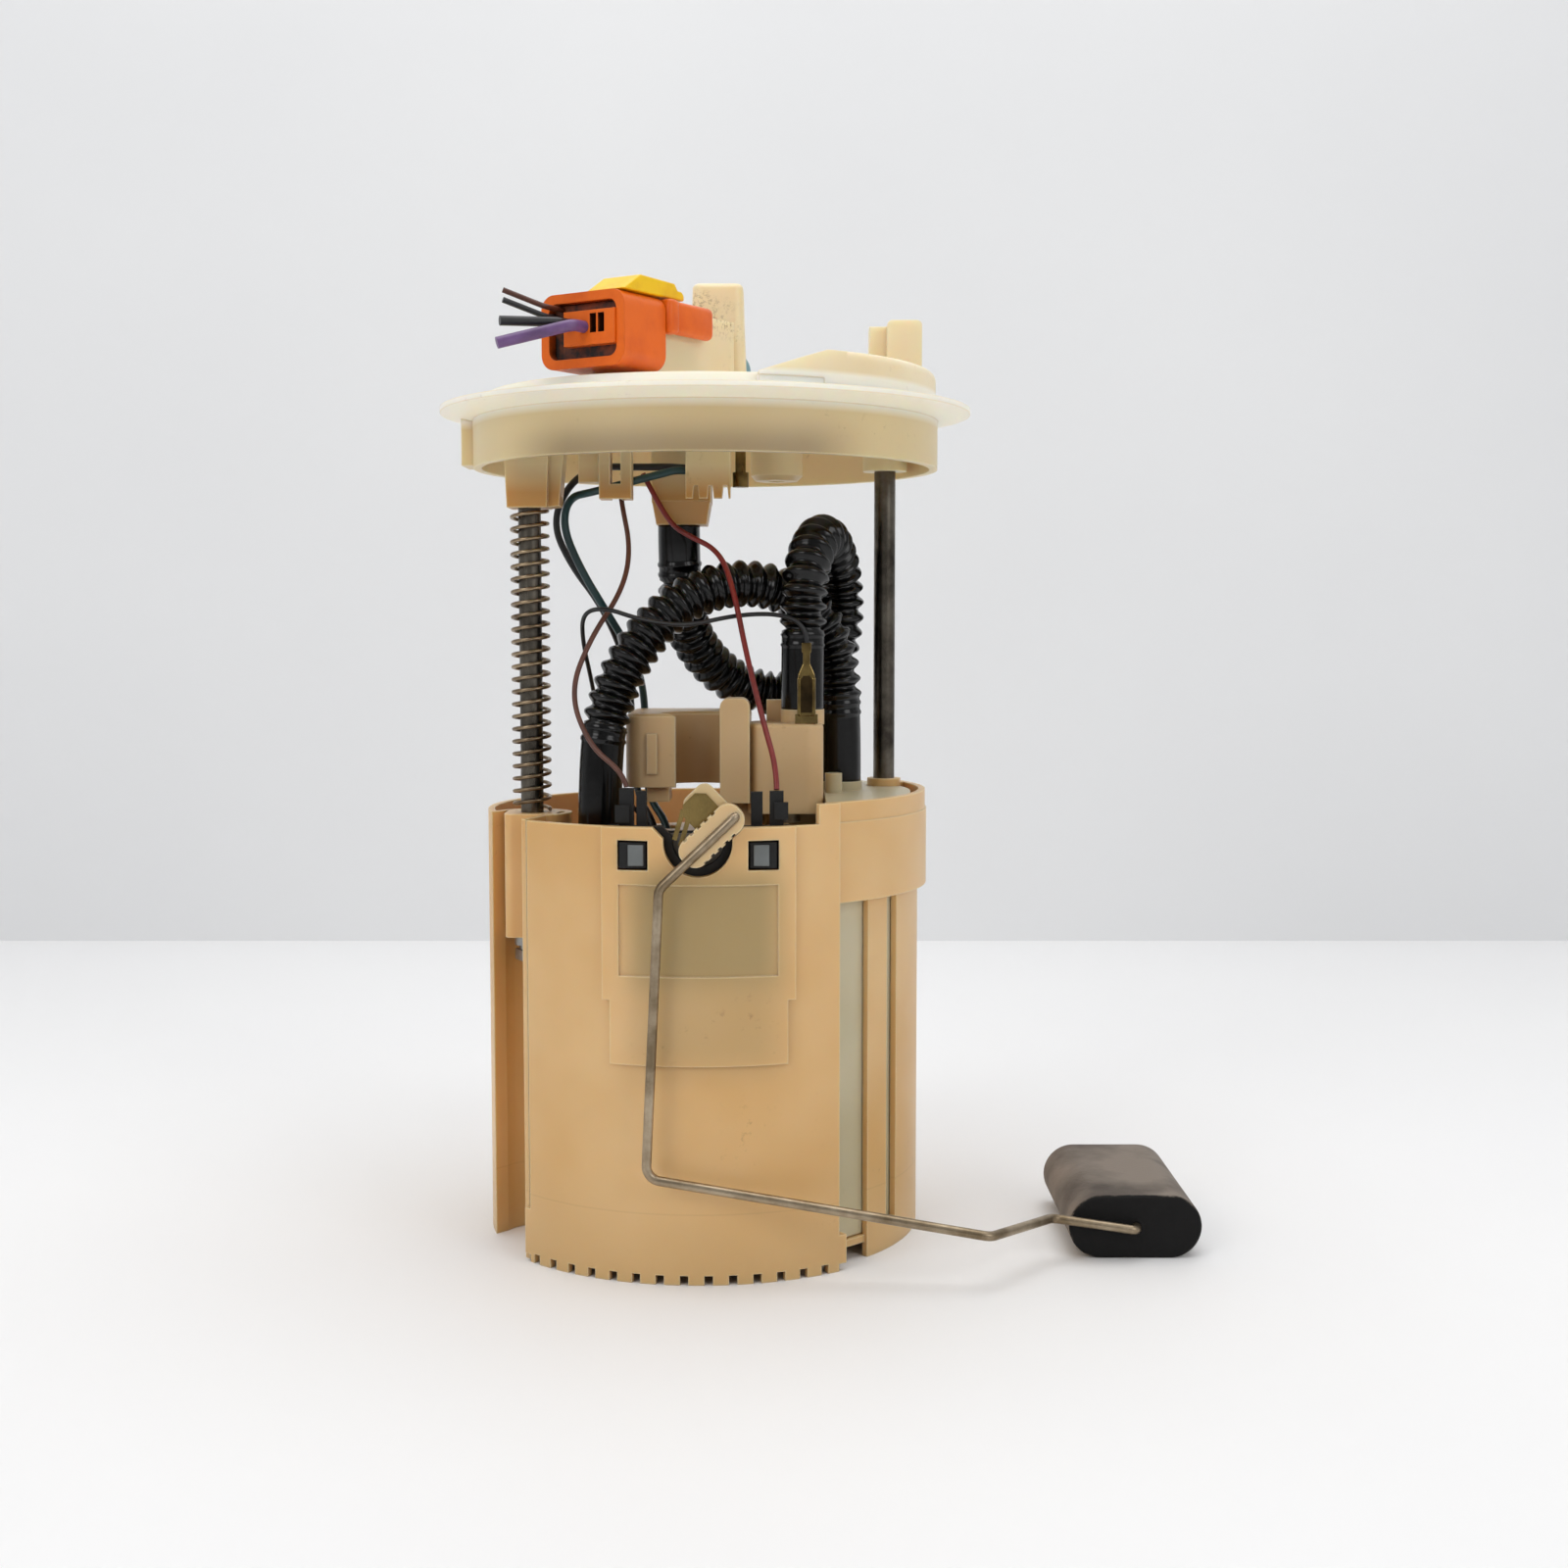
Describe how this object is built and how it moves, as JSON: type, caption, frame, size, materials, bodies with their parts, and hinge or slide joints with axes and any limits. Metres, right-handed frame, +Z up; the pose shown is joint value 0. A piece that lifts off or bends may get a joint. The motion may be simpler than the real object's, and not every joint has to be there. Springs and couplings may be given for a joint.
{
  "type": "fuel pump module",
  "caption": "In-tank fuel pump module: reservoir pot with pump and filter, sprung flange on guide rods, hoses, electrical plug and swinging float arm.",
  "frame": {"origin": "centre of the reservoir pot's foot pad, on the tank floor", "axes": "+Z up along the guide rods to the flange, -Y towards the level sender's face, +X towards the float"},
  "size_m": [0.2086, 0.148, 0.265],
  "materials": {
    "cream_acetal": "aged cream acetal, satin",
    "white_acetal": "whiter, slightly translucent acetal",
    "black_nylon": "dull black nylon",
    "natural_nylon": "natural translucent nylon, greyish",
    "black_rubber": "dull",
    "white_mesh": "fine woven mesh",
    "plated_steel": "zinc plated",
    "ferrite": "dull ceramic magnet",
    "copper_windings": "varnished windings",
    "filter_paper": "pleated paper",
    "ceramic_card": "printed ceramic card",
    "brass_sheet": "stamped sheet",
    "steel_rod": "ground rod, dark",
    "spring_steel": "wound wire, bronze toned",
    "blue_plastic": "light blue",
    "orange_plastic": "moulded, semi gloss",
    "yellow_plastic": "moulded, semi gloss",
    "arm_steel": "drawn wire",
    "float_rubber": "closed cell nitrile foam",
    "black_hose": "black corrugated nylon tube",
    "red_wire": "insulated wire",
    "brown_wire": "insulated wire",
    "teal_wire": "insulated wire",
    "black_wire": "insulated wire",
    "purple_wire": "insulated wire"
  },
  "bodies": {
    "reservoir": {"reservoir_pot": "cream_acetal", "foot_valve": "black_rubber", "suction_strainer": "white_mesh", "pump_holder": "cream_acetal", "pump_sleeve": "black_rubber", "pump_can": "plated_steel", "pump_inlet_cover": "black_nylon", "pump_end_cap": "black_nylon", "pump_magnets": "ferrite", "outlet_elbow": "cream_acetal", "pump_head": "cream_acetal", "pressure_regulator": "plated_steel", "filter_canister": "natural_nylon", "filter_element": "filter_paper", "filter_lid": "natural_nylon", "jet_pump_body": "cream_acetal", "jet_nozzle": "black_nylon", "sender_body": "black_nylon", "sender_hooks": "black_nylon", "resistor_card": "ceramic_card", "brass_terminal": "brass_sheet", "return_spring": "spring_steel", "hose_outlet": "black_hose", "hose_filter": "black_hose", "wire_red": "red_wire", "wire_brown": "brown_wire", "wire_teal": "teal_wire", "wire_black": "black_wire", "wire_ground": "black_wire"},
    "pump_rotor": {"pump_armature": "copper_windings", "pump_impeller": "black_nylon"},
    "flange": {"guide_rod_left": "steel_rod", "guide_rod_right": "steel_rod", "rod_clip": "black_nylon", "flange_cover": "white_acetal", "vent_valve": "white_acetal", "ground_tab": "brass_sheet", "outlet_ring": "blue_plastic", "connector_pins": "brass_sheet", "plug_housing": "orange_plastic", "plug_insert": "orange_plastic", "plug_lever": "orange_plastic", "lead_purple": "purple_wire", "lead_black": "black_wire", "lead_thin": "black_wire", "lead_brown": "brown_wire"},
    "cpa_lock": {"cpa_lock": "yellow_plastic"},
    "float_arm": {"arm_holder": "cream_acetal", "wiper_plate": "brass_sheet", "float_arm": "arm_steel", "float_retainer": "black_nylon"},
    "float": {"level_float": "float_rubber"}
  },
  "joints": [
    {"name": "flange_slide", "type": "slide", "parent": "reservoir", "child": "flange", "axis": [0, 0, 1], "range_m": [-0.04, 0], "stiffness_N_per_m": 300, "springref_m": 0.035, "deforming": ["return_spring", "hose_outlet", "hose_filter", "wire_red", "wire_brown", "wire_teal", "wire_black"]},
    {"name": "arm_pivot", "type": "hinge", "parent": "reservoir", "child": "float_arm", "pos_m": [0, -0.065, 0.1139], "axis": [0, -1, 0], "range_deg": [0, 70]},
    {"name": "float_swivel", "type": "hinge", "parent": "float_arm", "child": "float", "pos_m": [0.1167, -0.0146, 0.0086], "axis": [0, 1, 0], "continuous": true},
    {"name": "rotor_spin", "type": "hinge", "parent": "reservoir", "child": "pump_rotor", "pos_m": [0, -0.004, 0.05], "axis": [0, 0, 1], "continuous": true},
    {"name": "lock_slide", "type": "slide", "parent": "flange", "child": "cpa_lock", "axis": [-0.5446, -0.8387, 0], "range_m": [0, 0.004]}
  ]
}
